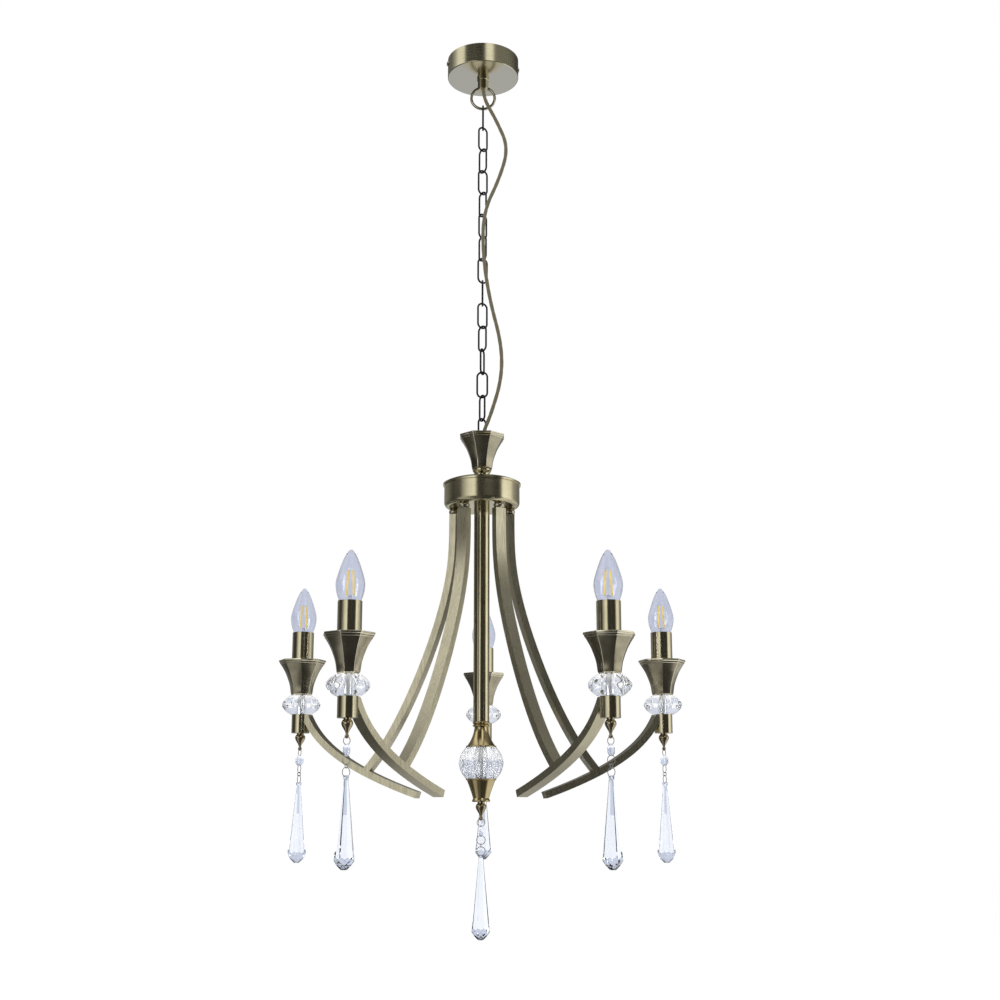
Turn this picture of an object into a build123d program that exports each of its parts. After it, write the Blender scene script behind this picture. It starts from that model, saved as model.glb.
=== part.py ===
from build123d import *
import math
import os

# Five-arm chandelier on a chain, in millimetres. The origin is on the ceiling, above the chain; +Z is up and
# -Y is the front. Every height z below is measured from the ceiling, so it is negative.

# ---------------------------------------------------------------- driving dimensions
gap = 0.3  # between pieces that move against each other
slip = 0.05  # radial clearance of a screw or tube in its hole

rose_d, rose_h, rose_wall = 102.0, 28.0, 0.9
rose_y = -3.0  # the rose's centre; the chain hangs a little behind it, beside the flex
screw_pcd = 62.0  # the bracket's two ceiling screws
bracket_turn = 10.0  # about Z, in degrees
bracket_w, bracket_t, tab_h = 20.0, 1.5, 15.0
side_screw_z = -9.0

hanger_collar_d, hanger_collar_h = 17.2, 3.0
hanger_d, hanger_bottom = 15.2, -46.0
stem_d, stem_bore, stem_top = 10.0, 7.0, -14.0

flex_d = 5.0
flex_exit_y = -6.5
ring_r, ring_wire = 16.8, 4.0  # to the wire's centre; the wire's diameter
ring_top = -40.4

link_wire, link_w, link_pitch, link_count = 2.6, 16.5, 33.46, 15
link_turns = (90, 34, -45, 32, -47, 43, -46, 28, 90, 28, -43, 71, 0, -60, 45)  # each link's plane about Z

loop_r, loop_wire = 8.0, 4.0
cup_h, cup_rim = 48.0, -563.0  # the top cup's rim
hub_lid_d, hub_d, hub_top, hub_bottom = 105.4, 102.0, -630.0, -663.5
column_d, column_bottom = 21.0, -950.0
collar_h, bell_h, bell_d = 7.0, 26.0, 39.6
centre_ball_d, centre_ball_h = 58.0, 40.4
lower_bell_h, flange_d, flange_h = 26.6, 23.8, 2.6

arm_count, arm_radius = 5, 260.0  # the radius is to the candles' axes
bar_w, bar_t, bar_wall = 16.0, 9.0, 1.2
foot_r, foot_z = 39.4, -671.0  # the top end of each arm, under the hub
candle_rim = -861.0  # the candle cups' rims
ball_d, ball_h = 52.0, 26.0
barrel_d, barrel_h = 24.5, 25.0
sleeve_d, sleeve_wall, sleeve_top = 29.3, 0.7, -823.0
lamp_tip, lamp_h = -761.0, 98.0
tube_d, tube_bore = 10.0, 7.0

pendant_turns = (45, -45, 60, 90, -60, 0)  # the ring planes about Z: five arms, then the centre
wire_d = 0.9  # the pendants' rings
ring_1, ring_2, small_ring = 4.9, 5.5, 2.4  # their radii, to the wire's centre
bead_w, bead_h, bead_t, bead_hole = 11.0, 14.4, 5.6, 5.8
drop_h, drop_d, drop_hole = 105.8, 24.0, 2.0

cup_bottom = cup_rim - cup_h
candle_bottom = candle_rim - cup_h
ball_bottom = candle_bottom - ball_h
barrel_bottom = ball_bottom - barrel_h
sleeve_bottom = candle_rim - 30.0


# ---------------------------------------------------------------- shape helpers
def line_or_curve(points):
    """The points of (across, height) in the XZ plane: two make a line, more make a smooth curve."""
    at = [(x, 0, z) for x, z in points]
    return Line(*at) if len(at) == 2 else Spline(*at)


def turned(*segments):
    """A body of revolution about Z, from outline segments that each start where the last one ended."""
    edges = [line_or_curve(s) for s in segments]
    if segments[-1][-1] != segments[0][0]:
        edges.append(line_or_curve([segments[-1][-1], segments[0][0]]))
    return revolve(make_face(edges), Axis.Z)


def tube(outer, inner, low, high):
    """An upright tube, or a rod where inner is 0, from low to high."""
    body = Pos(0, 0, (low + high) / 2) * Cylinder(outer, high - low)
    if inner:
        body -= Pos(0, 0, (low + high) / 2) * Cylinder(inner, high - low + 2)
    return body


def hoop(radius, wire, turn=0.0, z=0.0):
    """A wire ring that stands upright, its plane turned about Z."""
    return Pos(0, 0, z) * Rot(0, 0, turn) * Rot(90, 0, 0) * Torus(radius, wire / 2)


def octagonal(*half_outline):
    """A body with eight equal sides that follow half an outline, given from the axis outwards and back."""
    right = [line_or_curve(s) for s in half_outline]
    left = [e.mirror(Plane.YZ) for e in right]
    slab = extrude(make_face(right + left), amount=45, both=True)
    body = slab
    for k in (1, 2, 3):
        body = body & Rot(0, 0, 45 * k) * slab
    return body


def faceted(*rings):
    """A cut-glass body: flat facets between rings of (corners, radius, height, turn), from the top down."""
    def corners(count, radius, z, turn):
        return [
            Vector(radius * math.cos(a), radius * math.sin(a), z)
            for a in (math.radians(turn + 360 / count * k) for k in range(count))
        ]

    def facet(*points):
        return Face(Wire.make_polygon(points, close=True))

    loops = [corners(*r) for r in rings]
    faces = [facet(*loops[0]), facet(*reversed(loops[-1]))]
    for (n, _, _, turn), upper, lower, (_, _, _, next_turn) in zip(rings, loops, loops[1:], rings[1:]):
        for k in range(n):
            a, b, c, d = upper[k], upper[(k + 1) % n], lower[(k + 1) % n], lower[k]
            if next_turn == turn:
                faces.append(facet(a, b, c, d))
            else:  # the lower ring is turned half a step on, so the facets are triangles
                faces += [facet(a, b, d), facet(b, c, d)]
    return Solid(Shell(faces))


def placed(k):
    """Where arm k (from 0) has its candle: X points outwards there."""
    return Rot(0, 0, 360 / arm_count * k - 126) * Pos(arm_radius, 0, 0)


def every_arm(body):
    return [placed(k) * body for k in range(arm_count)]


def save(name, bodies):
    solids = [s for b in (bodies if isinstance(bodies, list) else [bodies]) for s in b.solids()]
    for s in solids:
        assert s.is_valid and s.volume > 0, name
    export_step(Compound(children=solids), f"parts/{name}.step")
    print(f"{name}: {len(solids)} solids, {sum(s.volume for s in solids) / 1000:.2f} cm3")


os.makedirs("parts", exist_ok=True)

# ---------------------------------------------------------------- ceiling rose
rose_r = rose_d / 2
stem_hole = stem_d / 2 + slip
rose = turned(
    [(stem_hole, -rose_h), (rose_r - 1, -rose_h)],
    [(rose_r - 1, -rose_h), (rose_r - 0.3, -rose_h + 0.3), (rose_r, -rose_h + 1)],
    [(rose_r, -rose_h + 1), (rose_r, 0)],
    [(rose_r, 0), (rose_r - rose_wall, 0)],
    [(rose_r - rose_wall, 0), (rose_r - rose_wall, -rose_h + rose_wall)],
    [(rose_r - rose_wall, -rose_h + rose_wall), (stem_hole, -rose_h + rose_wall)],
)
screw_r = 1.8
cross_hole = Pos(0, 0, side_screw_z) * Rot(0, 90, 0) * Cylinder(screw_r + slip, rose_d + 20)
rose -= cross_hole

tab_x = rose_r - rose_wall - gap
bracket = Pos(0, 0, -bracket_t / 2) * Box(2 * tab_x, bracket_w, bracket_t)
for side in (-1, 1):
    bracket += Pos(side * (tab_x - 1), 0, -tab_h / 2) * Box(2, 14, tab_h)
    bracket -= Pos(side * screw_pcd / 2, 0, 0) * Cylinder(2.5, 10)
bracket = bracket & Pos(0, 0, -tab_h / 2) * Cylinder(tab_x, tab_h)
bracket -= cross_hole

side_screw = Rot(0, 90, 0) * (
    Pos(0, 0, rose_r - 5) * Cylinder(screw_r, 10)
    + Pos(0, 0, rose_r + 0.9) * (Cylinder(3.4, 1.8) - Pos(0, 0, 0.6) * Box(0.8, 7, 0.8))
)
side_screw = Pos(0, 0, side_screw_z) * side_screw

at_rose = Pos(0, rose_y, 0)
turned_rose = at_rose * Rot(0, 0, bracket_turn)
save("ceiling_bracket", turned_rose * bracket)
save("ceiling_rose", turned_rose * rose)
save("rose_side_screws", [turned_rose * Rot(0, 0, a) * side_screw for a in (0, 180)])

# the hanger: a collar, a stub that the ring goes through, and a hollow stem that the flex comes down
collar_bottom = -rose_h - hanger_collar_h
hanger_r = hanger_d / 2
hanger = turned(
    [(0, stem_top), (stem_d / 2, stem_top)],
    [(stem_d / 2, stem_top), (stem_d / 2, -rose_h)],
    [(stem_d / 2, -rose_h), (hanger_collar_d / 2, -rose_h)],
    [(hanger_collar_d / 2, -rose_h), (hanger_collar_d / 2, collar_bottom)],
    [(hanger_collar_d / 2, collar_bottom), (hanger_r, collar_bottom - 0.8)],
    [(hanger_r, collar_bottom - 0.8), (hanger_r, hanger_bottom + 0.8)],
    [(hanger_r, hanger_bottom + 0.8), (hanger_r - 0.8, hanger_bottom)],
    [(hanger_r - 0.8, hanger_bottom), (0, hanger_bottom)],
)
hanger = at_rose * (hanger - Pos(0, 0, (stem_top + collar_bottom) / 2) * Cylinder(stem_bore / 2, 30))
ring_bend = ring_r - math.sqrt(ring_r**2 - (hanger_r) ** 2)  # how far the ring's wire drops across the stub
swing_room = ring_bend * math.sin(math.radians(15))
ring_slot = Pos(0, 0, ring_top - ring_bend / 2) * Box(
    hanger_d + 4, ring_wire + 2 * (gap + swing_room), ring_wire + 2 * gap + ring_bend
)
ring_slot = fillet(ring_slot.edges().filter_by(Axis.X), 1.9)
flex_way = Pos(0, flex_exit_y, hanger_bottom + 5) * Cylinder(flex_d / 2 + 0.35, 16)
flex_way += Pos(0, flex_exit_y, hanger_bottom + 0.5) * Cone(flex_d / 2 + 0.9, flex_d / 2 + 0.35, 2)
hanger = hanger - ring_slot - flex_way
save("rose_hanger", hanger)
locknut = Rot(0, 0, 15) * extrude(RegularPolygon(8.5, 6), amount=5) - Cylinder(stem_hole, 20)
save("hanger_locknut", at_rose * Pos(0, 0, -rose_h + rose_wall) * locknut)
terminals = Box(20, 11, 10)
for k in (-1, 0, 1):
    terminals -= Pos(6 * k, 0, 0) * Rot(90, 0, 0) * Cylinder(1.6, 20)
    terminals -= Pos(6 * k, 0, 4) * Cylinder(1.5, 6)
save("rose_terminal_block", at_rose * Pos(0, 27, -rose_h + rose_wall + 5) * terminals)

# ---------------------------------------------------------------- ring and chain
save("hanger_ring", hoop(ring_r, ring_wire, z=ring_top - ring_r))

link_half = (link_pitch + link_wire + 0.1) / 2  # from a link's centre to the centre of its end wire
bend_r = (link_w - link_wire) / 2
straight = 2 * (link_half - bend_r)
link_path = Wire([
    Line((bend_r, 0, -straight / 2), (bend_r, 0, straight / 2)),
    ThreePointArc((bend_r, 0, straight / 2), (0, 0, link_half), (-bend_r, 0, straight / 2)),
    Line((-bend_r, 0, straight / 2), (-bend_r, 0, -straight / 2)),
    ThreePointArc((-bend_r, 0, -straight / 2), (0, 0, -link_half), (bend_r, 0, -straight / 2)),
])
link = sweep(Plane((bend_r, 0, 0), z_dir=(0, 0, 1)) * Circle(link_wire / 2), path=link_path)
ring_low = ring_top - 2 * ring_r
first_link = ring_low + ring_wire / 2 + link_wire / 2 + gap - link_half
link_z = [first_link - link_pitch * k for k in range(link_count)]
link_z[-1] += gap - 0.1  # the last link is another body, so it hangs with the moving gap
links = [Pos(0, 0, z) * Rot(0, 0, t) * link for z, t in zip(link_z, link_turns)]
save("chain_links", links[:-1])
save("chain_end_link", links[-1])
rock_z = link_z[-1] - link_half  # the end wire that the fixture rocks on

# the flex: a limp braided pair, longer than the chain, that swings out and in again beside it
flex_points = [
    (0, flex_exit_y, hanger_bottom + 2),
    (1.2, -8, -59),
    (8.5, -10, -77),
    (19.5, -11.8, -99),
    (36.5, -13.5, -141),
    (24, -15, -189),
    (1, -15.5, -241),
    (0.5, -16, -305),
    (10, -15.5, -371),
    (26.5, -15, -435),
    (27, -14.5, -485),
    (12, -14, -537),
    (1, -9.7, -562),
    (0, -8.8, rock_z - 5),
]
runs = [Vector(*b) - Vector(*a) for a, b in zip(flex_points, flex_points[1:])]
radii = []
for one, two in zip(runs, runs[1:]):
    half_turn = math.radians(one.get_angle(two)) / 2
    radii.append(0.45 * min(one.length, two.length) / math.tan(half_turn))
flex_path = FilletPolyline(*flex_points, radius=radii)
flex = sweep(Plane(flex_path @ 0, z_dir=flex_path % 0) * Circle(flex_d / 2), path=flex_path)
save("supply_flex", flex)
print("flex radii", [round(r) for r in radii], "length %.1f" % flex_path.length,
      "volume over section x length %.4f" % (flex.volume / (math.pi * flex_d**2 / 4 * flex_path.length)))


# ---------------------------------------------------------------- octagonal cups
def cup(hole):
    """The cast cup that is used above the hub and under each candle, with its rim at z = 0."""
    wall, floor = 1.4, 2.0
    lip, steps = 29.9, ((29.9, -2.6), (28.9, -3.1), (28.3, -5.4), (27.3, -6.0))
    curve = [(27.3, -6.0), (23.6, -12.5), (20.2, -19.5), (15.6, -33.0), (13.9, -44.0)]
    side = [(0, 0), (lip, 0), *steps]
    outside = octagonal(
        *([a, b] for a, b in zip(side, side[1:])),
        curve,
        [curve[-1], (11.8, -cup_h)],
        [(11.8, -cup_h), (0, -cup_h)],
    )
    inner = [(x - wall, z) for x, z in curve]
    inner[-1] = (inner[-1][0], -cup_h + floor)
    inside = octagonal(
        [(0, 1), (lip - wall, 1)],
        [(lip - wall, 1), (lip - wall, -2.6)],
        [(lip - wall, -2.6), inner[0]],
        inner,
        [inner[-1], (0, -cup_h + floor)],
    )
    return outside - inside - Pos(0, 0, -cup_h) * Cylinder(hole, 10)


# ---------------------------------------------------------------- hub and column
grip_y, grip_r = -8.8, 3.5
grip_hole = Pos(0, grip_y, cup_bottom) * Cylinder(grip_r - 0.7, 60)
save("top_cup", Pos(0, 0, cup_rim) * cup(5 + slip) - grip_hole)
loop_z = rock_z + link_wire / 2 + loop_wire / 2 + gap - loop_r
loop = hoop(loop_r, loop_wire, turn=-45, z=loop_z) + tube(3.4, 0, loop_z - loop_r - 5, loop_z - loop_r)
stud_top = loop_z - loop_r - 5
loop += tube(6.2, 0, stud_top - 3, stud_top) & Rot(0, 0, 45) * Pos(0, 0, stud_top) * Box(20, 9.6, 20)
loop += tube(5, 0, hub_top - 12, stud_top - 3)
loop -= Pos(0, grip_y, stud_top) * Cylinder(grip_r + 0.1, 90)
save("top_loop", loop)
grip_top = rock_z + 1.0
grip = tube(grip_r, grip_r - 0.7, cup_bottom + 2, grip_top - 2.5)
grip += Pos(0, 0, grip_top - 1.5) * (Cylinder(grip_r + 0.4, 3) - Cone(grip_r - 0.7, grip_r + 0.1, 3.02))
save("flex_grip", Pos(0, grip_y, 0) * grip)

lid_r, hub_r, sheet = hub_lid_d / 2, hub_d / 2, 1.0
neck_r = 12.6
lid = turned(
    [(5 + slip, cup_bottom), (neck_r, cup_bottom)],
    [(neck_r, cup_bottom), (neck_r, cup_bottom - 2)],
    [(neck_r, cup_bottom - 2), (neck_r - 2, cup_bottom - 5), (neck_r - 1.5, hub_top + 6)],
    [(neck_r - 1.5, hub_top + 6), (neck_r + 5, hub_top + 3.2)],
    [(neck_r + 5, hub_top + 3.2), (lid_r - 4, hub_top + 1), (lid_r, hub_top - 1)],
    [(lid_r, hub_top - 1), (lid_r, hub_top - 3.5)],
    [(lid_r, hub_top - 3.5), (hub_r - 3, hub_top - 3.5)],
    [(hub_r - 3, hub_top - 3.5), (hub_r - 3, hub_top - 1)],
    [(hub_r - 3, hub_top - 1), (5 + slip, hub_top)],
)
save("hub_lid", lid - Pos(0, grip_y, cup_bottom) * Cylinder(grip_r - 0.7, 60))

drum_top = hub_top - 3.5
foot_hole = 3.0
drum = turned(
    [(hub_r, drum_top), (hub_r, hub_bottom + 6)],
    [(hub_r, hub_bottom + 6), (hub_r - 1.8, hub_bottom + 1.8), (hub_r - 6, hub_bottom)],
    [(hub_r - 6, hub_bottom), (5 + slip, hub_bottom)],
    [(5 + slip, hub_bottom), (5 + slip, hub_bottom + 2)],
    [(5 + slip, hub_bottom + 2), (hub_r - 6, hub_bottom + 2)],
    [(hub_r - 6, hub_bottom + 2), (hub_r - 2.5, hub_bottom + 3), (hub_r - sheet, hub_bottom + 7)],
    [(hub_r - sheet, hub_bottom + 7), (hub_r - sheet, drum_top)],
)
feet = [Rot(0, 0, 360 / arm_count * k - 126) * Pos(foot_r, 0, 0) for k in range(arm_count)]
for f in feet:
    drum -= f * Pos(0, 0, hub_bottom) * Cylinder(foot_hole + slip, 10)
save("hub_drum", drum)
save("hub_terminal_block", Pos(0, 22, hub_bottom + 2 + 5) * terminals)

knob = turned(
    [(0, hub_bottom + 9), (foot_hole, hub_bottom + 9)],
    [(foot_hole, hub_bottom + 9), (foot_hole, hub_bottom)],
    [(foot_hole, hub_bottom), (5.5, hub_bottom)],
    [(5.5, hub_bottom), (7.4, hub_bottom - 3.6), (5, foot_z)],
    [(5, foot_z), (0, foot_z)],
)
save("arm_collars", [f * knob for f in feet])
nut = extrude(RegularPolygon(5.6, 6), amount=4) - Cylinder(foot_hole + slip, 20)
save("arm_nuts", [f * Pos(0, 0, hub_bottom + 2) * nut for f in feet])

column_r, rod_r = column_d / 2, 5.0
save("centre_column", tube(column_r, column_r - 1.2, column_bottom, hub_bottom))
collar_z = column_bottom - collar_h
rings = turned(
    [(rod_r + slip, column_bottom), (10.2, column_bottom)],
    [(10.2, column_bottom), (11.3, column_bottom - 1.6), (10.2, column_bottom - 3.2)],
    [(10.2, column_bottom - 3.2), (9.6, column_bottom - 3.8)],
    [(9.6, column_bottom - 3.8), (11.3, column_bottom - 5.4), (9.2, collar_z)],
    [(9.2, collar_z), (rod_r + slip, collar_z)],
)
save("column_collar", rings)
bell_z, bell_r = collar_z - bell_h, bell_d / 2
upper_bell = turned(
    [(rod_r + slip, collar_z), (8.9, collar_z)],
    [(8.9, collar_z), (11.2, collar_z - 11), (bell_r - 1.6, bell_z + 2.2)],
    [(bell_r - 1.6, bell_z + 2.2), (bell_r, bell_z + 1.4), (bell_r, bell_z)],
    [(bell_r, bell_z), (rod_r + slip, bell_z)],
)
save("upper_bell", upper_bell)


def fluted(diameter, height, lobes, hole, flat):
    """A solid glass ball with flat ends of radius flat, and grooves down it between rounded lobes."""
    r, h = diameter / 2, height / 2
    bulge = ((r - flat) ** 2 + h**2) / (2 * (r - flat))  # radius of the side's curve
    shoulder = r - bulge + bulge * math.cos(math.asin(h / bulge) / 2)
    side = [(flat, h), (shoulder, h / 2 + 0.4), (r, 0), (shoulder, -h / 2 - 0.4), (flat, -h)]
    ball = turned([(hole, h), (flat, h)], side, [(flat, -h), (hole, -h)])
    groove = Pos(r - bulge, 0, 0) * Rot(90, 0, 0) * Torus(bulge + 0.9, 2.4)
    for k in range(lobes):
        ball -= Rot(0, 0, 360 / lobes * (k + 0.5)) * groove
    return ball


centre_z = bell_z - centre_ball_h / 2
glass_lobes = 12
centre_glass = fluted(centre_ball_d, centre_ball_h, glass_lobes, rod_r + 0.4, bell_r - 0.4)
save("centre_ball", Pos(0, 0, centre_z) * centre_glass)
lower_top = bell_z - centre_ball_h
lower_z = lower_top - lower_bell_h
flange_z = lower_z - flange_h
lower_bell = turned(
    [(rod_r + slip, lower_top), (bell_r, lower_top)],
    [(bell_r, lower_top), (bell_r, lower_top - 1.2), (bell_r - 1.4, lower_top - 2)],
    [(bell_r - 1.4, lower_top - 2), (14.2, lower_top - 13), (10.4, lower_z + 2)],
    [(10.4, lower_z + 2), (flange_d / 2 - 0.6, lower_z)],
    [(flange_d / 2 - 0.6, lower_z), (flange_d / 2, lower_z - 1.2), (flange_d / 2 - 0.6, flange_z)],
    [(flange_d / 2 - 0.6, flange_z), (rod_r + slip, flange_z)],
)
save("lower_bell", lower_bell)
save("centre_rod", tube(rod_r, 3.5, flange_z, hub_bottom + 10))

# ---------------------------------------------------------------- arms
bar = Rectangle(bar_w, bar_t)
bore = Rectangle(bar_w - 2 * bar_wall, bar_t - 2 * bar_wall)


def swept(section, path):
    return sweep(Plane(path @ 0, x_dir=(0, 1, 0), z_dir=path % 0) * section, path=path)


upright_path = Spline(
    (foot_r, 0, foot_z), (41.2, 0, -735), (69, 0, -846), (126.5, 0, -967), (161, 0, -1013),
    tangents=[(0, 0, -1), (0.66, 0, -0.75)],
)


def scroll_curve(tip):
    start = [(251, 0, -936), (209, 0, -985.5), (150, 0, -1019)]
    return Spline(*start, tip, tangents=[(-0.42, 0, -0.9), (-0.95, 0, -0.32)])


barrel_space = Pos(arm_radius, 0, 0) * tube(barrel_d / 2, 0, barrel_bottom - 20, candle_bottom)
barrel_space += Pos(arm_radius, 0, 0) * tube(ball_d / 2, 0, ball_bottom - gap, candle_bottom)
whole_scroll = swept(bar, scroll_curve((87, 0, -1043.5))) - barrel_space
scroll = whole_scroll - swept(bore, scroll_curve((89, 0, -1042.8)))
upright = swept(bar, upright_path) - swept(bore, upright_path) - whole_scroll
upright = upright.solids().sort_by(SortBy.VOLUME)[-1]
for k in range(arm_count):
    turn = Rot(0, 0, 360 / arm_count * k - 126)
    save(f"arm_{k + 1}", [turn * upright, turn * scroll])

# ---------------------------------------------------------------- candles
tube_r = tube_d / 2
save("candle_cups", every_arm(Pos(0, 0, candle_rim) * cup(tube_r + slip)))
glass = fluted(ball_d, ball_h, glass_lobes, tube_r + 0.4, 13.4)
save("glass_balls", every_arm(Pos(0, 0, candle_bottom - ball_h / 2) * Rot(0, 0, 15) * glass))
save("arm_barrels", every_arm(tube(barrel_d / 2, tube_r + slip, barrel_bottom, ball_bottom)))
holder_bottom, holder_top = candle_bottom + 9.0, sleeve_top - 15.0
save("threaded_tubes", every_arm(tube(tube_r, tube_bore / 2, barrel_bottom, holder_bottom + 8)))
save("candle_sleeves", every_arm(tube(sleeve_d / 2, sleeve_d / 2 - sleeve_wall, sleeve_bottom, sleeve_top)))
lamp_base, cap_r = lamp_tip - lamp_h, 6.9
holder = tube(13, 0, holder_bottom, holder_top)
holder -= tube(tube_r + slip, 0, holder_bottom - 1, holder_bottom + 8)
holder -= tube(cap_r + gap, 0, lamp_base - gap, lamp_base + 21.4)
holder -= tube(9.1, 0, lamp_base + 21.2, holder_top + 1)
save("lampholders", every_arm(holder))

lamp = turned(
    [(0, 0), (2.4, 0)],
    [(2.4, 0), (2.4, 2)],
    [(2.4, 2), (cap_r, 5)],
    [(cap_r, 5), (cap_r, 21)],
    [(cap_r, 21), (8.6, 22)],
    [(8.6, 22), (8.6, 25)],
    [(8.6, 25), (13.2, 36), (17.5, 54), (15.6, 66), (12.3, 77), (8.3, 88), (5.2, 94), (0, lamp_h)],
    [(0, lamp_h), (0, 0)],
)
for k in range(arm_count):
    save(f"lamp_{k + 1}", placed(k) * Pos(0, 0, lamp_base) * lamp)

# ---------------------------------------------------------------- finials and pendants
eye_drop, eye_r = 21.0, 2.6  # from a finial's top face down to the centre of its eye
finial = turned(
    [(0, 0), (4.6, 0)],
    [(4.6, 0), (4.6, -1.6)],
    [(4.6, -1.6), (6.9, -7.0), (4.4, -12.2), (1.7, -17.5)],
    [(1.7, -17.5), (1.7, -eye_drop)],
    [(1.7, -eye_drop), (0, -eye_drop)],
) + Pos(0, 0, -eye_drop) * Sphere(eye_r)
finial_tops = [placed(k) * Pos(0, 0, barrel_bottom) for k in range(arm_count)] + [Pos(0, 0, flange_z)]
where = [Pos(*t.position) for t in finial_tops]
save("pendant_finials", [
    w * (finial - Rot(0, 0, turn) * hoop(ring_1, wire_d + 2 * gap, z=-eye_drop - ring_1))
    for w, turn in zip(where, pendant_turns)
])

# heights below the eye, which each ring, the bead and the drop hang from; their rings lie in the local XZ plane
ring_1_z = -ring_1
bead_z = -2 * ring_1 - bead_hole
ring_2_z = bead_z - bead_hole - ring_2
small_z = ring_2_z - ring_2 + wire_d + 0.1 - small_ring
ring_3_z = small_z - small_ring + wire_d + 0.1 - ring_2
drop_eye = ring_3_z - ring_2
drop_top = drop_eye + drop_hole

table, rim = bead_t / 2, 1.1
bead_shape = [(8, bead_w / 2 * 0.52, table, 0), (8, bead_w / 2 * 1.06, rim, 22.5)]
bead_shape += [(8, r, -z, 45 - t) for _, r, z, t in reversed(bead_shape)]
bead = scale(Rot(0, 90, 0) * faceted(*bead_shape), by=(1, 1, bead_h / bead_w))
bead = Pos(0, 0, bead_z) * bead
bead -= hoop(ring_1, wire_d + gap, z=ring_1_z) + hoop(ring_2, wire_d + gap, z=ring_2_z)
pendant_rings = [
    hoop(ring_1, wire_d, z=ring_1_z),
    hoop(ring_2, wire_d, z=ring_2_z),
    hoop(small_ring, wire_d, turn=90, z=small_z),
    hoop(ring_2, wire_d, z=ring_3_z),
]
wide = drop_d / 2
drop = faceted(
    (8, 3.2, 0, 0), (8, 3.9, -1.4, 22.5), (8, 3.2, -5.0, 22.5),
    (8, wide, -0.87 * drop_h, 22.5), (8, wide * 0.98, -0.905 * drop_h, 45),
    (8, wide * 0.72, -0.955 * drop_h, 67.5), (8, wide * 0.3, -drop_h, 90),
)
head_room = 10
drop -= [Pos(side * (head_room / 2 + 1.7), 0, 0) * Box(head_room, 20, 9.2) for side in (-1, 1)]
drop = Pos(0, 0, drop_top) * drop - Pos(0, 0, drop_eye) * Rot(0, 90, 0) * Cylinder(1.05, 20)
for k, (w, turn) in enumerate(zip(where, pendant_turns)):
    hang = w * Pos(0, 0, -eye_drop) * Rot(0, 0, turn)
    save(f"bead_{k + 1}", hang * bead)
    save(f"pendant_rings_{k + 1}", [hang * r for r in pendant_rings])
    save(f"drop_{k + 1}", hang * drop)

eyes = [round(w.position.Z - eye_drop, 2) for w in where]
print("finial eyes at", eyes, "drop eye", round(drop_eye, 3), "below them")
print("ring's low wire", round(ring_low, 3), "last links at", [round(z, 3) for z in link_z[-2:]])
print("half a link", round(link_half, 3), "fixture rocks at", round(rock_z, 3))
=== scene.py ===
"""Looks for the chandelier: materials, lamps, cast cups, the braided flex, lights and the camera."""

import math

import bmesh
import bpy
from mathutils import Matrix, Vector


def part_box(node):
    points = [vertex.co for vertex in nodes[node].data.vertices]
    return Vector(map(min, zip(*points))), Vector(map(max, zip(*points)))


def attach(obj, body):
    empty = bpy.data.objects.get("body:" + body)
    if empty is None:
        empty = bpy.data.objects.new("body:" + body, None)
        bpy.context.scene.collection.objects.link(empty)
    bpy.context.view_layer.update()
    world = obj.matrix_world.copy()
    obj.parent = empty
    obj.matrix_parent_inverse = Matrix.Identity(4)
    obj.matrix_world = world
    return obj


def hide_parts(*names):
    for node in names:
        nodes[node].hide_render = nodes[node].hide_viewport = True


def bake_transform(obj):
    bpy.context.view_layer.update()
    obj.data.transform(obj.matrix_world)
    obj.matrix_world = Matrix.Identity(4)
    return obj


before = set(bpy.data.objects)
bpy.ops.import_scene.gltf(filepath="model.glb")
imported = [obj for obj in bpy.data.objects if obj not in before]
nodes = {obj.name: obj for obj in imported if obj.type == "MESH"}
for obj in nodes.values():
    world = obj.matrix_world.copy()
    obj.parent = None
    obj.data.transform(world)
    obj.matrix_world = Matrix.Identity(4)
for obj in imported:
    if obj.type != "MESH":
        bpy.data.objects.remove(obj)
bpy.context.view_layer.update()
ARMS = 5
MM = 0.001


# ---------------------------------------------------------------- node helpers
class Nodes:
    """Short ways to add shader nodes to a tree."""

    def __init__(self, tree):
        self.tree = tree

    def node(self, kind, **settings):
        n = self.tree.nodes.new("ShaderNode" + kind)
        for key, value in settings.items():
            setattr(n, key, value)
        return n

    def feed(self, value, socket):
        if isinstance(value, bpy.types.NodeSocket):
            self.tree.links.new(value, socket)
        else:
            socket.default_value = value

    def math(self, operation, a, b=0.0):
        n = self.node("Math", operation=operation)
        self.feed(a, n.inputs[0])
        self.feed(b, n.inputs[1])
        return n.outputs[0]

    def span(self, value, low, high, to_low=0.0, to_high=1.0, **settings):
        n = self.node("MapRange", **settings)
        for k, v in enumerate((value, low, high, to_low, to_high)):
            self.feed(v, n.inputs[k])
        return n.outputs[0]

    def mix(self, amount, a, b):
        n = self.node("Mix", data_type="RGBA")
        for k, v in ((0, amount), (6, a), (7, b)):
            self.feed(v, n.inputs[k])
        return n.outputs[2]


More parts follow.
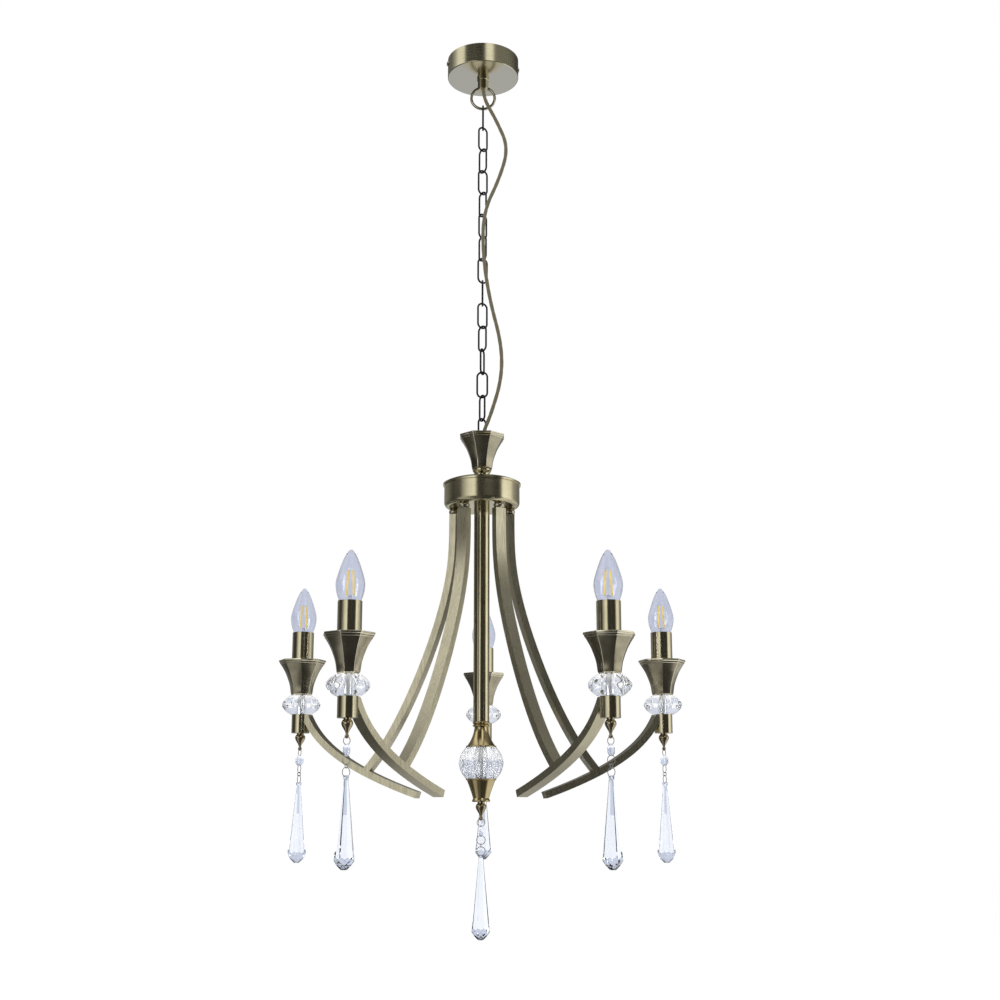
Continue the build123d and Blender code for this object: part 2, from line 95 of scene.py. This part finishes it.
class Graph(Nodes):
    """A material with a Principled shader."""

    def __init__(self, name):
        self.material = bpy.data.materials.new(name)
        self.material.use_nodes = True
        super().__init__(self.material.node_tree)
        self.shader = self.tree.nodes["Principled BSDF"]

    def place(self, stretch=(1, 1, 1)):
        """Positions on the object in millimetres, stretched."""
        at = self.node("TexCoord").outputs["Object"]
        m = self.node("Mapping")
        self.feed(at, m.inputs[0])
        m.inputs["Scale"].default_value = [1000 * s for s in stretch]
        return m.outputs[0]

    def noise(self, at, scale, detail=3.0, distortion=0.0):
        n = self.node("TexNoise")
        self.feed(at, n.inputs["Vector"])
        for key, value in (("Scale", scale), ("Detail", detail), ("Distortion", distortion)):
            n.inputs[key].default_value = value
        return n.outputs["Fac"]

    def bump(self, height, strength, distance):
        n = self.node("Bump")
        self.feed(height, n.inputs["Height"])
        n.inputs["Strength"].default_value = strength
        n.inputs["Distance"].default_value = distance
        self.tree.links.new(n.outputs[0], self.shader.inputs["Normal"])

    def set(self, **values):
        for key, value in values.items():
            self.feed(value, self.shader.inputs[key.replace("_", " ")])
        return self.material


def rgb(r, g, b):
    return (r, g, b, 1.0)


def metal(name, light, dark, rough=0.26, lines=(0.02, 0.02, 3.0), line_scale=1.0, depth=0.02, patina=0.35):
    """Brushed metal: fine lines across the stretched axis, and soft darker patches of patina."""
    g = Graph(name)
    fine = g.noise(g.place(lines), line_scale, 4.0)
    cloud = g.noise(g.place(), 0.035, 3.0, 0.4)
    speck = g.noise(g.place(), 0.9, 2.0)
    dulled = g.math("MULTIPLY", g.span(cloud, 0.35, 0.7), patina)
    colour = g.mix(g.math("ADD", dulled, g.span(fine, 0.3, 0.75, 0.0, 0.45)), light, dark)
    colour = g.mix(g.span(speck, 0.68, 0.8, 0.0, 0.12), colour, dark)
    g.bump(fine, 0.25, depth * MM)
    roughness = g.span(fine, 0.25, 0.75, rough - 0.06, rough + 0.08)
    return g.set(Base_Color=colour, Metallic=1.0, Roughness=roughness)


def plastic(name, colour, rough=0.55):
    g = Graph(name)
    grain = g.noise(g.place(), 2.0, 2.0)
    shade = g.mix(g.span(grain, 0.3, 0.7, 0.0, 0.35), colour, rgb(*(c * 0.8 for c in colour[:3])))
    g.bump(grain, 0.15, 0.05 * MM)
    return g.set(Base_Color=shade, Roughness=rough)


def glass(name, tint, ior):
    g = Graph(name)
    swirl = g.noise(g.place(), 0.05, 2.0, 0.6)
    colour = g.mix(g.span(swirl, 0.35, 0.65), tint, rgb(*(c * 0.97 for c in tint[:3])))
    return g.set(Base_Color=colour, Roughness=0.0, IOR=ior, Transmission_Weight=1.0)


# ---------------------------------------------------------------- materials
antique = metal("antique_brass", rgb(0.58, 0.53, 0.36), rgb(0.38, 0.34, 0.21), 0.19, patina=0.25)
column_brass = metal("column_brass", rgb(0.56, 0.51, 0.35), rgb(0.36, 0.32, 0.20), 0.17, (3.0, 3.0, 0.02), 0.6,
                     patina=0.25)
golden = metal("golden_brass", rgb(0.62, 0.51, 0.28), rgb(0.34, 0.26, 0.12), 0.17)
arm_metal = metal("arm_bronze", rgb(0.56, 0.52, 0.38), rgb(0.38, 0.35, 0.25), 0.30, (0.6, 0.6, 0.05),
                  patina=0.3)
chain_metal = metal("chain_bronze", rgb(0.07, 0.065, 0.065), rgb(0.02, 0.019, 0.02), 0.3, (1, 1, 1), 0.6, 0.05)
ring_metal = metal("ring_brass", rgb(0.60, 0.56, 0.44), rgb(0.34, 0.31, 0.22), 0.14, (1, 1, 1), 0.5)
wire_metal = metal("plated_wire", rgb(0.50, 0.50, 0.49), rgb(0.28, 0.28, 0.27), 0.15, (1, 1, 1), 1.0)
steel = metal("zinc_steel", rgb(0.62, 0.62, 0.60), rgb(0.42, 0.42, 0.40), 0.32, (1, 1, 1), 0.8)
finial_brass = metal("finial_bronze", rgb(0.50, 0.42, 0.28), rgb(0.24, 0.19, 0.12), 0.14)
white_plastic = plastic("white_plastic", rgb(0.80, 0.79, 0.74))
drop_glass = glass("drop_glass", rgb(0.84, 0.87, 0.935), 1.52)
ball_glass = glass("ball_glass", rgb(0.985, 0.99, 1.0), 1.5)
envelope_glass = glass("lamp_envelope", rgb(0.87, 0.88, 0.925), 1.45)
ROSE_Y, ROSE_BOTTOM = -3.0, -28.0  # the rose's axis and its underside, in millimetres


def rose_metal():
    """The rose: brushed brass with a greyer, circularly brushed underside, and a warm fan painted at its front as
    a highlight.
    """
    g = Graph("rose_brass")
    at = g.place()
    split = g.node("SeparateXYZ")
    g.feed(at, split.inputs[0])
    east, north, up = split.outputs
    back = g.math("SUBTRACT", north, ROSE_Y)
    radius = g.math("SQRT", g.math("ADD", g.math("POWER", east, 2.0), g.math("POWER", back, 2.0)))
    rings = g.node("CombineXYZ")
    g.feed(g.math("MULTIPLY", radius, 2.5), rings.inputs[0])
    g.feed(g.math("MULTIPLY", up, 2.5), rings.inputs[1])
    fine = g.noise(rings.outputs[0], 1.0, 4.0)
    cloud = g.noise(at, 0.035, 3.0, 0.4)
    wall = g.mix(g.span(cloud, 0.35, 0.7, 0.0, 0.3), rgb(0.58, 0.53, 0.36), rgb(0.40, 0.36, 0.23))
    # a warm fan forwards from the axis on the underside: a painted highlight standing in for the reflection that
    # circular brushing throws
    forward = g.math("MAXIMUM", g.math("SUBTRACT", ROSE_Y, north), 0.5)
    slope = g.math("DIVIDE", g.math("ABSOLUTE", east), forward)
    painted_highlight_wedge = g.math("MULTIPLY", g.span(slope, 0.45, 0.9, 1.0, 0.0), g.span(radius, 4.0, 12.0))
    underside_and_painted_highlight = g.mix(painted_highlight_wedge, rgb(0.58, 0.57, 0.52), rgb(0.56, 0.50, 0.32))
    colour = g.mix(g.span(up, ROSE_BOTTOM + 0.3, ROSE_BOTTOM + 0.8, 1.0, 0.0), wall, underside_and_painted_highlight)
    colour = g.mix(g.span(fine, 0.35, 0.75, 0.0, 0.3), colour, rgb(0.30, 0.28, 0.20))
    g.bump(fine, 0.25, 0.02 * MM)
    return g.set(Base_Color=colour, Metallic=1.0, Roughness=g.span(fine, 0.25, 0.75, 0.14, 0.26))


for node, material in {
    "ceiling_bracket": steel, "ceiling_rose": rose_metal(), "rose_side_screws": ring_metal, "rose_hanger": antique,
    "hanger_locknut": steel, "rose_terminal_block": white_plastic, "hanger_ring": ring_metal,
    "chain_links": chain_metal, "chain_end_link": chain_metal, "top_loop": ring_metal, "flex_grip": white_plastic,
    "hub_lid": antique, "hub_drum": antique, "hub_terminal_block": white_plastic, "arm_collars": ring_metal,
    "arm_nuts": steel, "centre_column": column_brass, "centre_rod": steel, "column_collar": golden,
    "upper_bell": golden, "centre_ball": ball_glass, "lower_bell": golden, "arm_barrels": column_brass,
    "glass_balls": ball_glass, "candle_sleeves": column_brass, "lampholders": white_plastic,
    "threaded_tubes": steel, "pendant_finials": finial_brass,
    **{f"arm_{k + 1}": arm_metal for k in range(ARMS)},
    **{f"bead_{k + 1}": drop_glass for k in range(ARMS + 1)},
    **{f"drop_{k + 1}": drop_glass for k in range(ARMS + 1)},
    **{f"pendant_rings_{k + 1}": wire_metal for k in range(ARMS + 1)},
}.items():
    nodes[node].data.materials.clear()
    nodes[node].data.materials.append(material)


# ---------------------------------------------------------------- shape helpers
def smooth(obj, angle):
    """Smooth shading, with edges sharper than the angle kept sharp."""
    mesh = obj.data
    mesh.shade_smooth()
    bm = bmesh.new()
    bm.from_mesh(mesh)
    for e in bm.edges:
        e.smooth = len(e.link_faces) == 2 and e.calc_face_angle() < math.radians(angle)
    bm.to_mesh(mesh)
    bm.free()


def piece(name, parts, body, replaced, angle):
    """One object on a body, in place of a CAD node. Its parts are (vertices, faces, material, wear at each vertex
    or None); a fifth value turns a part's faces inwards, for the inside of a shell."""
    verts, faces, slots, edge, materials, inner = [], [], [], [], [], []
    for vs, fs, material, values, *inward in parts:
        if material not in materials:
            materials.append(material)
        base = len(verts)
        verts += [tuple(v) for v in vs]
        faces += [[base + i for i in f] for f in fs]
        inner += range(len(slots), len(slots) + len(fs)) if inward else ()
        slots += [materials.index(material)] * len(fs)
        edge += values or [0.0] * len(vs)
    mesh = bpy.data.meshes.new(name)
    mesh.from_pydata(verts, [], faces)
    mesh.update()
    for m in materials:
        mesh.materials.append(m)
    mesh.polygons.foreach_set("material_index", slots)
    mesh.attributes.new("edge", "FLOAT", "POINT").data.foreach_set("value", edge)
    obj = bpy.data.objects.new(name, mesh)
    bpy.context.scene.collection.objects.link(obj)
    bm = bmesh.new()
    bm.from_mesh(mesh)
    bmesh.ops.recalc_face_normals(bm, faces=bm.faces)
    bm.faces.ensure_lookup_table()
    for i in inner:
        bm.faces[i].normal_flip()
    bm.to_mesh(mesh)
    bm.free()
    smooth(obj, angle)
    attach(obj, body)
    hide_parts(replaced)


def curve_points(controls, steps):
    """Points of a smooth curve through the controls (Catmull-Rom)."""
    pts = [Vector(p) for p in controls]
    pts = [2 * pts[0] - pts[1], *pts, 2 * pts[-1] - pts[-2]]
    out = []
    for a, b, c, d in zip(pts, pts[1:], pts[2:], pts[3:]):
        for i in range(steps):
            t = i / steps
            square, cube = 2 * a - 5 * b + 4 * c - d, 3 * b - a - 3 * c + d
            out.append(0.5 * (2 * b + (c - a) * t + square * t**2 + cube * t**3))
    return [*out, pts[-2]]


def ring_faces(rows, steps, closed=False):
    """The quads between each ring of points and the next; closed joins the last ring to the first."""
    faces = []
    for i in range(rows if closed else rows - 1):
        j = (i + 1) % rows
        for k in range(steps):
            n = (k + 1) % steps
            faces.append([i * steps + k, i * steps + n, j * steps + n, j * steps + k])
    return faces


def end_faces(rows, steps):
    """The two caps of a tube of rings."""
    return [list(reversed(range(steps))), [(rows - 1) * steps + k for k in range(steps)]]


def lathe(outline, material, where, steps=48):
    """A closed body of revolution from (radius, height) points in millimetres, whose ends are on the axis."""
    verts = []
    for r, z in outline:
        for k in range(steps):
            a = 2 * math.pi * k / steps
            verts.append(where @ Vector((r * math.cos(a) * MM, r * math.sin(a) * MM, z * MM)))
    return verts, ring_faces(len(outline), steps), material, None


def wire(points, radius, material, where, steps=8):
    """A round wire through points in millimetres."""
    pts = [Vector(p) for p in points]
    verts, side = [], None
    for i, p in enumerate(pts):
        along = (pts[min(i + 1, len(pts) - 1)] - pts[max(i - 1, 0)]).normalized()
        side = along.orthogonal().normalized() if side is None else (side - along * side.dot(along)).normalized()
        up = along.cross(side)
        for k in range(steps):
            a = 2 * math.pi * k / steps
            verts.append(where @ ((p + radius * (math.cos(a) * side + math.sin(a) * up)) * MM))
    return verts, ring_faces(len(pts), steps) + end_faces(len(pts), steps), material, None


ARM_RADIUS = 0.260
TOP_CUP_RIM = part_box("top_cup")[1][2]
CANDLE_CUP_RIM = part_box("candle_cups")[1][2]
LAMP_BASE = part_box("lamp_1")[0][2]


def arm_angle(k):
    """The direction that arm k points in, in degrees about Z."""
    return 360 / ARMS * k - 126


def arm_place(k, z):
    """Candle k's own frame: its origin on the candle's axis at height z in metres, X outwards."""
    return Matrix.Rotation(math.radians(arm_angle(k)), 4, "Z") @ Matrix.Translation((ARM_RADIUS, 0, z))


# ---------------------------------------------------------------- cast octagonal cups
def cup_material():
    """Dark cast bronze, rubbed bright on its lip and arrises."""
    g = Graph("cup_bronze")
    worn = g.node("Attribute", attribute_name="edge").outputs["Fac"]
    grain = g.noise(g.place((1.0, 1.0, 0.25)), 0.9, 4.0)
    cloud = g.noise(g.place(), 0.06, 3.0, 0.3)
    colour = g.mix(g.span(cloud, 0.3, 0.7), rgb(0.46, 0.42, 0.31), rgb(0.30, 0.27, 0.19))
    colour = g.mix(g.span(grain, 0.5, 0.8, 0.0, 0.25), colour, rgb(0.20, 0.18, 0.12))
    bright = g.span(g.math("ADD", worn, g.span(cloud, 0.2, 0.8, -0.1, 0.1)), 0.4, 0.8)
    colour = g.mix(bright, colour, rgb(0.80, 0.75, 0.58))
    g.bump(grain, 0.12, 0.02 * MM)
    return g.set(Base_Color=colour, Metallic=1.0, Roughness=g.span(grain, 0.2, 0.8, 0.18, 0.26))


# the cup's section, as (distance from its axis to a flat side, height below the rim) in millimetres
SIDES = 8
CUP_HEIGHT, CUP_FLOOR, CUP_HOLE, ARRIS = 48.0, 2.0, 5.1, 0.55
CUP_OUTSIDE = [(29.2, 0), (29.9, -0.5), (29.9, -2.1), (29.5, -2.6), (28.9, -3.1), (28.5, -3.6), (28.3, -5.0),
               (27.9, -5.6), (27.3, -6.0)]
CUP_SIDE = [(27.3, -6.0), (23.6, -12.5), (20.2, -19.5), (15.6, -33.0), (13.9, -44.0), (13.2, -46.6),
            (11.8, -CUP_HEIGHT)]
CUP_INSIDE = [(5.3, CUP_FLOOR - CUP_HEIGHT), (12.2, CUP_FLOOR - CUP_HEIGHT), (14.2, -33.0), (18.8, -19.5),
              (22.2, -12.5), (25.9, -6.0), (28.4, -2.8), (28.5, -0.5)]
BRIGHT_ROWS = {0, 1, 3, 4, 7}  # the points of CUP_OUTSIDE that are rubbed bright


def octagon_cup(where, material):
    side = [(p.x, p.y) for p in curve_points([(*p, 0) for p in CUP_SIDE], 4)]
    hole = [(CUP_HOLE, -CUP_HEIGHT), (CUP_HOLE, CUP_FLOOR - CUP_HEIGHT)]
    outline = [*CUP_OUTSIDE, *side[1:], *hole, *CUP_INSIDE]
    verts, edge = [], []
    for i, (r, z) in enumerate(outline):
        cut = min(ARRIS, r * 0.1)
        half = r * math.tan(math.pi / SIDES)
        # three points across each side, then one on the rounded arris
        across = ((-half + cut, r, 0.35), (0, r, 0.0), (half - cut, r, 0.35), (half, r - cut * 0.28, 1.0))
        for k in range(SIDES):
            a = 2 * math.pi / SIDES * k
            for y, x, worn in across:
                verts.append(where @ Vector(((x * math.cos(a) - y * math.sin(a)) * MM,
                                             (x * math.sin(a) + y * math.cos(a)) * MM, z * MM)))
                edge.append(max(worn, 0.95 if i in BRIGHT_ROWS else 0.0))
    return verts, ring_faces(len(outline), 4 * SIDES, closed=True), material, edge


cup_bronze = cup_material()
piece("top_cup_cast", [octagon_cup(Matrix.Translation((0, 0, TOP_CUP_RIM)), cup_bronze)], "fixture", "top_cup",
      24)
piece("candle_cups_cast", [octagon_cup(arm_place(k, CANDLE_CUP_RIM), cup_bronze) for k in range(ARMS)], "fixture",
      "candle_cups", 24)


# ---------------------------------------------------------------- candle lamps
def filament_material():
    g = Graph("filament_painted_glow")
    dots = g.noise(g.place(), 1.4, 1.0)
    colour = g.mix(g.span(dots, 0.35, 0.65), rgb(1.0, 0.80, 0.26), rgb(0.95, 0.64, 0.12))
    # the emission is a painted glow: the lamps are not lit, yet this material shines faintly in its own colour
    return g.set(Base_Color=colour, Roughness=0.5, Emission_Color=colour, Emission_Strength=0.25)


filament_painted_glow = filament_material()
cap_metal = metal("lamp_cap_brass", rgb(0.66, 0.60, 0.42), rgb(0.42, 0.37, 0.24), 0.25)
insulator = plastic("lamp_insulator", rgb(0.03, 0.03, 0.035), 0.2)
lead_wire = metal("lead_wire", rgb(0.70, 0.70, 0.70), rgb(0.5, 0.5, 0.5), 0.2, (1, 1, 1))
# outlines in millimetres above the lamp's contact, as (radius, height)
LAMP_GLASS = [(8.2, 23.5), (8.6, 26.5), (10.2, 30.0), (13.2, 36.5), (16.2, 45.5), (17.5, 54.5), (17.0, 61.0),
              (15.6, 66.5), (12.3, 77.0), (8.3, 87.5), (5.0, 93.2), (2.6, 96.6), (1.1, 97.8), (0.0, 98.0)]
GLASS_WALL = 0.75
CAP_R, THREAD_START, THREAD_PITCH, THREAD_DEPTH = 6.9, 5, 2.8, 0.45
THREAD = [(CAP_R - THREAD_DEPTH * (0.5 - 0.5 * math.cos(2 * math.pi * (z - THREAD_START) / THREAD_PITCH)), z)
          for z in [THREAD_START + 0.4 * i for i in range(36)]]
LAMP_CAP = [(0, 2.0), (4.4, 2.2), (6.2, 4.6), *THREAD, (CAP_R, 20.0), (CAP_R, 21.0), (8.5, 22.2), (8.55, 24.0),
            (8.2, 24.2), (0, 24.2)]
INSULATOR = [(0, 1.6), (4.0, 1.6), (4.3, 2.3), (0, 2.3)]
CONTACT = [(0, 0.0), (1.6, 0.1), (2.3, 0.8), (2.3, 1.7), (0, 1.7)]
STEM = [(0, 25.3), (4.6, 25.3), (2.6, 29.5), (1.7, 34.0), (1.5, 40.0), (2.3, 42.5), (0, 43.0)]
FILAMENT_LOW, FILAMENT_HIGH = (4.6, 43.0), (3.0, 73.0)  # each filament's foot and top: (from the axis, height)
FILAMENT_R, LEAD_R = 1.35, 0.22


def lamp_parts(where):
    outer = [(p.x, p.y) for p in curve_points([(*p, 0) for p in LAMP_GLASS], 3)]
    inner = [(max(r - GLASS_WALL, 0), z - 0.5 if r < 6 else z) for r, z in outer]
    inner[-1] = (0.0, outer[-1][1] - 1.0)
    envelope = [(0.0, 24.4), (7.0, 24.4), (8.2, 23.5), *outer[1:]]
    hollow = [(0.0, 25.2), (6.4, 25.2), *[p for p in inner if p[1] > 25.6]]
    parts = [
        lathe(envelope, envelope_glass, where, 56),
        (*lathe(hollow, envelope_glass, where, 56), "inside"),
        lathe(LAMP_CAP, cap_metal, where),
        lathe(INSULATOR, insulator, where),
        lathe(CONTACT, cap_metal, where),
        lathe(STEM, envelope_glass, where, 24),
    ]
    (low_x, low_z), (top_x, top_z) = FILAMENT_LOW, FILAMENT_HIGH
    for side in (-1, 1):
        filament_line = [(side * low_x, 0, low_z), (side * top_x, 0, top_z)]
        lead = [(side * 0.9, 0, 36), (side * 1.2, 0, 40.5), (side * 3.4, 0, 41.4), (side * low_x, 0, low_z + 0.1)]
        parts.append(wire(filament_line, FILAMENT_R, filament_painted_glow, where, 10))
        parts.append(wire(lead, LEAD_R, lead_wire, where, 6))
    bridge = [(-top_x, 0, top_z), (-2.2, 0, 75.4), (0, 0, 76.4), (2.2, 0, 75.4), (top_x, 0, top_z)]
    parts.append(wire(bridge, LEAD_R, lead_wire, where, 6))
    return parts


LAMP_TURNS = (-12, 8, 20, 0, -15)  # how far each lamp's pair of filaments is screwed round from facing the front
for k in range(ARMS):
    face_on = Matrix.Rotation(math.radians(LAMP_TURNS[k] - arm_angle(k)), 4, "Z")
    lamp = f"lamp_{k + 1}"
    piece(lamp + "_detailed", lamp_parts(arm_place(k, LAMP_BASE) @ face_on), lamp, lamp, 40)


# ---------------------------------------------------------------- the flex
FLEX_ROUTE = [(0, -6.5, -44), (1.2, -8, -59), (8.5, -10, -77), (19.5, -11.8, -99), (36.5, -13.5, -141),
              (24, -15, -189), (1, -15.5, -241), (0.5, -16, -305), (10, -15.5, -371), (26.5, -15, -435),
              (27, -14.5, -485), (12, -14, -537), (1, -9.7, -562), (0, -8.8, -579.8)]
FLEX_D, FLEX_LENGTH, FLEX_LAY = 0.005, 0.554, 0.017  # lay: the length in which the two cores twist half a turn


def flex_line():
    """The points of the route's NURBS spline, in metres."""
    curve = bpy.data.curves.new("flex_route", "CURVE")
    curve.dimensions = "3D"
    curve.resolution_u = 24
    spline = curve.splines.new("NURBS")
    spline.points.add(len(FLEX_ROUTE) - 1)
    for p, at in zip(spline.points, FLEX_ROUTE):
        p.co = (*(c * MM for c in at), 1)
    spline.use_endpoint_u = True
    spline.order_u = 3
    obj = bpy.data.objects.new("flex_route", curve)
    mesh = bpy.data.meshes.new_from_object(obj)
    line = [v.co.copy() for v in mesh.vertices]
    bpy.data.objects.remove(obj)
    return line


def even(line, step):
    """The same line with points a step apart."""
    out, left = [line[0]], step
    for a, b in zip(line, line[1:]):
        length = (b - a).length
        while length > 0 and left <= length:
            out.append(a.lerp(b, left / length))
            left += step
        left -= length
    return [*out, line[-1]] if (line[-1] - out[-1]).length > step * 0.3 else [*out[:-1], line[-1]]


def flex_material():
    g = Graph("braided_flex")
    uv = g.node("TexCoord").outputs["UV"]
    split = g.node("SeparateXYZ")
    g.feed(uv, split.inputs[0])
    around, along = split.outputs[0], split.outputs[1]
    # two families of yarn that cross: around and along are counted in yarns
    turn = 6.2832
    one = g.math("SINE", g.math("MULTIPLY", g.math("ADD", around, along), turn))
    two = g.math("SINE", g.math("MULTIPLY", g.math("SUBTRACT", around, along), turn))
    weave = g.math("MULTIPLY", one, two)
    fuzz = g.noise(g.place(), 3.0, 3.0)
    height = g.math("ADD", weave, g.math("MULTIPLY", fuzz, 0.6))
    # the weave's hollows are coloured darker than its crowns: painted shade between the yarns
    colour = g.mix(g.span(weave, -0.6, 0.7), rgb(0.030, 0.025, 0.010), rgb(0.115, 0.095, 0.043))
    colour = g.mix(g.span(fuzz, 0.5, 0.75, 0.0, 0.5), colour, rgb(0.19, 0.165, 0.09))
    g.bump(height, 0.7, 0.15 * MM)
    return g.set(Base_Color=colour, Roughness=0.62, Sheen_Weight=0.3)


def braided_flex():
    """Two covered cores twisted together: a tube with two round lobes that turn along the line."""
    line = even(flex_line(), 0.00125)
    steps, radius = 24, FLEX_D / 2
    yarns_round, yarns_per_ring = 8, 0.45
    verts, uvs = [], []
    side, run = None, 0.0
    for i, p in enumerate(line):
        along = (line[min(i + 1, len(line) - 1)] - line[max(i - 1, 0)]).normalized()
        side = Vector((1, 0, 0)) if side is None else side
        side = (side - along * side.dot(along)).normalized()
        up = along.cross(side)
        run += (p - line[i - 1]).length if i else 0.0
        for k in range(steps):
            a = 2 * math.pi * k / steps
            lobe = abs(math.sin(a - math.pi * run / FLEX_LAY))
            r = radius * (1.03 - 0.12 * (1 - lobe) ** 2)
            verts.append(p + r * (math.cos(a) * side + math.sin(a) * up))
    faces = ring_faces(len(line), steps)
    for i in range(len(line) - 1):
        for k in range(steps):
            corners = [(k / steps, i), ((k + 1) / steps, i), ((k + 1) / steps, i + 1), (k / steps, i + 1)]
            uvs += [(yarns_round * u, v * yarns_per_ring) for u, v in corners]
    last = (len(line) - 1) * steps
    faces += [list(range(steps)), [last + k for k in reversed(range(steps))]]
    uvs += [(0, 0)] * (2 * steps)
    mesh = bpy.data.meshes.new("supply_flex_braid")
    mesh.from_pydata([tuple(v) for v in verts], [], faces)
    mesh.uv_layers.new(name="UVMap").data.foreach_set("uv", [c for uv in uvs for c in uv])
    mesh.materials.append(flex_material())
    mesh.shade_smooth()
    obj = bpy.data.objects.new("supply_flex_braid", mesh)
    bpy.context.scene.collection.objects.link(obj)
    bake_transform(obj)
    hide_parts("supply_flex")


braided_flex()


# ---------------------------------------------------------------- stage, light and camera
def floor_paint():
    g = Graph("floor_paint")
    mottle = g.noise(g.place(), 0.002, 2.0)
    shade = g.mix(g.span(mottle, 0.3, 0.7, 0.0, 0.1), rgb(0.93, 0.93, 0.93), rgb(*[0.93 * 0.96] * 3))
    return g.set(Base_Color=shade, Roughness=0.8)


FLOOR_Z, FLOOR_HALF = -1.75, 7
corners = [(-1, -1), (1, -1), (1, 1), (-1, 1)]
floor_mesh = bpy.data.meshes.new("floor")
floor_mesh.from_pydata([(FLOOR_HALF * a, FLOOR_HALF * b, FLOOR_Z) for a, b in corners], [], [[0, 1, 2, 3]])
floor_mesh.materials.append(floor_paint())
floor = bpy.data.objects.new("floor", floor_mesh)
bpy.context.scene.collection.objects.link(floor)
floor.visible_glossy = False  # the studio's own bands show in the metal instead

world = bpy.data.worlds.new("studio")
bpy.context.scene.world = world
world.use_nodes = True
sky = Nodes(world.node_tree)
sky.tree.nodes.clear()


def bands(azimuth, stops):
    """A ramp of greys round the studio; stops are (degrees from the front, positive to the right; brightness)."""
    n = sky.node("ValToRGB")
    ramp = n.color_ramp
    ramp.interpolation = "LINEAR"
    for k, (deg, v) in enumerate(stops):
        at = (deg + 180) / 360
        e = ramp.elements[k] if k < 2 else ramp.elements.new(at)
        e.position = at
        e.color = (v, v, v * 0.985, 1)
    sky.feed(azimuth, n.inputs[0])
    return n.outputs[0]


way = sky.node("SeparateXYZ")
sky.feed(sky.node("TexCoord").outputs["Generated"], way.inputs[0])
x, y, z = way.outputs
turns = sky.math("DIVIDE", sky.math("ARCTAN2", x, sky.math("MULTIPLY", y, -1.0)), 2 * math.pi)
azimuth = sky.math("ADD", turns, 0.5)
high = bands(azimuth, [(-180, 0.12), (-120, 0.20), (-100, 0.6), (-88, 1.25), (-64, 1.3), (-58, 0.07), (6, 0.05),
                       (12, 1.4), (32, 1.4), (38, 0.28), (100, 0.20), (140, 0.06), (180, 0.12)])
middle = bands(azimuth, [(-180, 0.35), (-125, 0.25), (-100, 0.06), (-68, 0.06), (-56, 0.6), (-42, 1.1), (-20, 1.6),
                         (-15, 0.05), (60, 0.04), (67, 1.6), (98, 1.3), (112, 0.50), (145, 0.20), (180, 0.35)])
below = bands(azimuth, [(-180, 0.70), (-166, 0.55), (-150, 0.14), (-98, 0.08), (-84, 0.12), (-74, 0.60),
                        (-48, 0.52), (-38, 0.16), (-8, 0.12), (0, 0.06), (60, 0.08), (72, 1.0), (140, 0.85),
                        (162, 0.40), (180, 0.70)])
glass_view = bands(azimuth, [(-180, 1.0), (-125, 0.98), (-100, 0.60), (-60, 0.35), (0, 0.45), (50, 0.35),
                             (90, 0.60), (125, 0.98), (180, 1.0)])


def rise(low_end, high_end):
    """0 where the sky is below one height and 1 above the other, with a soft step between them."""
    return sky.span(z, low_end, high_end, interpolation_type="SMOOTHSTEP")


studio = sky.mix(rise(-0.22, -0.06), below, middle)
studio = sky.mix(rise(0.30, 0.38), studio, high)
studio = sky.mix(rise(0.75, 0.95), studio, rgb(0.9, 0.9, 0.9))
glass_view = sky.mix(0.68, glass_view, rgb(0.58, 0.63, 0.76))
ray = sky.node("LightPath").outputs
studio = sky.mix(ray["Is Transmission Ray"], studio, glass_view)
studio = sky.mix(ray["Is Diffuse Ray"], studio, rgb(1.25, 1.25, 1.26))
studio = sky.mix(ray["Is Camera Ray"], studio, rgb(1.0, 1.0, 1.0))
background = sky.node("Background")
sky.feed(studio, background.inputs[0])
background.inputs[1].default_value = 1.0
sky.feed(background.outputs[0], sky.node("OutputWorld").inputs[0])


def panel_light(name, at, size, power, colour):
    """A soft rectangular light that faces the middle of the chandelier and isn't seen itself."""
    target = (0, 0, -0.7)
    data = bpy.data.lights.new(name, "AREA")
    data.shape, data.size, data.size_y = "RECTANGLE", *size
    data.energy, data.color = power, colour
    obj = bpy.data.objects.new(name, data)
    obj.location = at
    obj.rotation_mode = "QUATERNION"
    obj.rotation_quaternion = (Vector(target) - Vector(at)).to_track_quat("-Z", "Y")
    obj.visible_camera = obj.visible_glossy = False
    bpy.context.scene.collection.objects.link(obj)


panel_light("key", (-2.6, -2.2, 0.2), (1.2, 2.4), 55, (1.0, 0.99, 0.97))
panel_light("fill", (2.8, -1.8, -0.3), (1.0, 2.4), 35, (0.97, 0.98, 1.0))

LOOK_UP = 12.75  # degrees above level
camera = bpy.data.cameras.new("camera")
camera.lens, camera.sensor_width = 51.12, 36
camera.clip_start, camera.clip_end = 0.05, 60
view = bpy.data.objects.new("camera", camera)
view.location = (0.0245, -1.875, -1.077)
view.rotation_euler = (math.radians(90 + LOOK_UP), 0, 0)
bpy.context.scene.collection.objects.link(view)
bpy.context.scene.camera = view
bpy.context.scene.view_settings.view_transform = "Standard"
